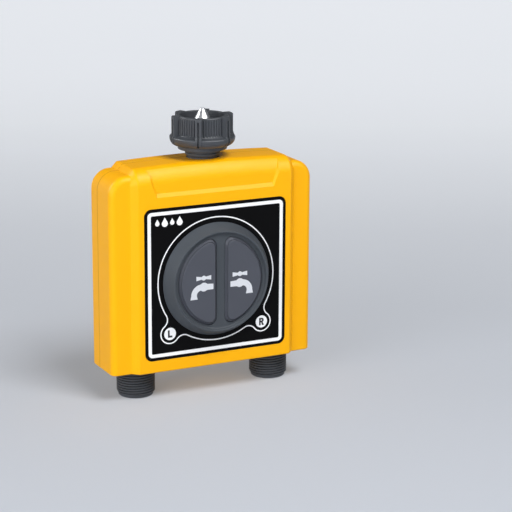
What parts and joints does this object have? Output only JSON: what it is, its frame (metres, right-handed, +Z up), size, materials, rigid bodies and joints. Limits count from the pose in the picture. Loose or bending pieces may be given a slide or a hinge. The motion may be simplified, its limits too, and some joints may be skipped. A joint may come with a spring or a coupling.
{
  "type": "drip irrigation timer",
  "caption": "Battery hose timer: a tap nut on top feeds two valves with threaded outlets, with a round two-key control on the front of a flat case.",
  "frame": {"origin": "on the plane of the two outlet ends, under the middle of the part's box", "axes": "+Z up from the outlets to the inlet nut, -Y out of the front panel, +X to the right seen from the front"},
  "size_m": [0.15, 0.0537, 0.1948],
  "materials": {
    "case_yellow": "semi-gloss moulded ABS",
    "label_black": "printed polycarbonate overlay",
    "bezel_grey": "fine satin",
    "button_grey": "fine satin",
    "fitting_grey": "satin nylon",
    "valve_plastic": "satin acetal",
    "soft_rubber": "matte EPDM",
    "silicone": "translucent silicone",
    "switch_cap": "moulded cap",
    "circuit_board": "solder mask",
    "shield_tin": "tinned",
    "screw_steel": "zinc plated",
    "stainless": "bright stainless",
    "soft_iron": "machined",
    "copper": "enamelled wire",
    "cell_wrap": "printed sleeve",
    "lead_cover": "soft PVC"
  },
  "bodies": {
    "case": {"battery_1": "cell_wrap", "battery_2": "cell_wrap", "battery_3": "cell_wrap", "battery_4": "cell_wrap", "battery_contacts": "stainless", "battery_door_seal": "soft_rubber", "battery_leads": "lead_cover", "battery_springs": "stainless", "battery_tray": "valve_plastic", "board_connectors": "switch_cap", "board_screws": "screw_steel", "bonnet_screws": "screw_steel", "button_membrane": "silicone", "coil_leads": "lead_cover", "control_bezel": "bezel_grey", "control_board": "circuit_board", "drive_capacitors": "shield_tin", "front_housing": "case_yellow", "front_label": "label_black", "housing_gasket": "soft_rubber", "housing_screws": "screw_steel", "inlet_filter": "stainless", "inlet_manifold": "fitting_grey", "inlet_tailpiece": "valve_plastic", "inlet_washer": "soft_rubber", "left_coil_bobbin": "valve_plastic", "left_coil_frame": "soft_iron", "left_coil_winding": "copper", "left_diaphragm": "soft_rubber", "left_latch_magnet": "soft_iron", "left_plunger_spring": "stainless", "left_switch": "valve_plastic", "left_valve_body": "fitting_grey", "left_valve_bonnet": "valve_plastic", "microcontroller": "valve_plastic", "pipe_o_rings": "soft_rubber", "radio_module": "shield_tin", "rear_housing": "case_yellow", "right_coil_bobbin": "valve_plastic", "right_coil_frame": "soft_iron", "right_coil_winding": "copper", "right_diaphragm": "soft_rubber", "right_latch_magnet": "soft_iron", "right_plunger_spring": "stainless", "right_switch": "valve_plastic", "right_valve_body": "fitting_grey", "right_valve_bonnet": "valve_plastic", "tailpiece_clip": "stainless"},
    "nut": {"inlet_nut": "fitting_grey"},
    "left_key": {"left_button": "button_grey", "left_switch_plunger": "switch_cap"},
    "right_key": {"right_button": "button_grey", "right_switch_plunger": "switch_cap"},
    "door": {"battery_door": "case_yellow"},
    "lower_screw": {"lower_door_screw": "screw_steel"},
    "upper_screw": {"upper_door_screw": "screw_steel"},
    "left_armature": {"left_plunger": "soft_iron"},
    "right_armature": {"right_plunger": "soft_iron"},
    "left_disc": {"left_diaphragm_disc": "valve_plastic"},
    "right_disc": {"right_diaphragm_disc": "valve_plastic"}
  },
  "joints": [
    {"name": "nut_swivel", "type": "hinge", "parent": "case", "child": "nut", "pos_m": [0, 0.0045, 0.1787], "axis": [0, 0, 1], "continuous": true},
    {"name": "left_key_press", "type": "slide", "parent": "case", "child": "left_key", "axis": [0, 1, 0], "range_m": [0, 0.0012], "stiffness_N_per_m": 2500, "springref_m": -0.0006},
    {"name": "right_key_press", "type": "slide", "parent": "case", "child": "right_key", "axis": [0, 1, 0], "range_m": [0, 0.0012], "stiffness_N_per_m": 2500, "springref_m": -0.0006},
    {"name": "door_lift_off", "type": "slide", "parent": "case", "child": "door", "axis": [0, 1, 0], "range_m": [0, 0.03]},
    {"name": "lower_screw_turn", "type": "hinge", "parent": "door", "child": "lower_screw", "pos_m": [0, 0.0215, 0.0628], "axis": [0, 1, 0], "continuous": true},
    {"name": "upper_screw_turn", "type": "hinge", "parent": "door", "child": "upper_screw", "pos_m": [0, 0.0215, 0.1268], "axis": [0, 1, 0], "continuous": true},
    {"name": "right_plunger_lift", "type": "slide", "parent": "case", "child": "right_armature", "axis": [-1, 0, 0], "range_m": [0, 0.002], "stiffness_N_per_m": 300, "springref_m": -0.003, "deforming": ["right_plunger_spring"]},
    {"name": "right_disc_lift", "type": "slide", "parent": "case", "child": "right_disc", "axis": [-1, 0, 0], "range_m": [0, 0.0016]},
    {"name": "left_plunger_lift", "type": "slide", "parent": "case", "child": "left_armature", "axis": [1, 0, 0], "range_m": [0, 0.002], "stiffness_N_per_m": 300, "springref_m": -0.003, "deforming": ["left_plunger_spring"]},
    {"name": "left_disc_lift", "type": "slide", "parent": "case", "child": "left_disc", "axis": [1, 0, 0], "range_m": [0, 0.0016]}
  ],
  "couplings": [
    {"joint": "right_disc_lift", "follows": "right_plunger_lift", "ratio": 0.8},
    {"joint": "left_disc_lift", "follows": "left_plunger_lift", "ratio": 0.8}
  ]
}
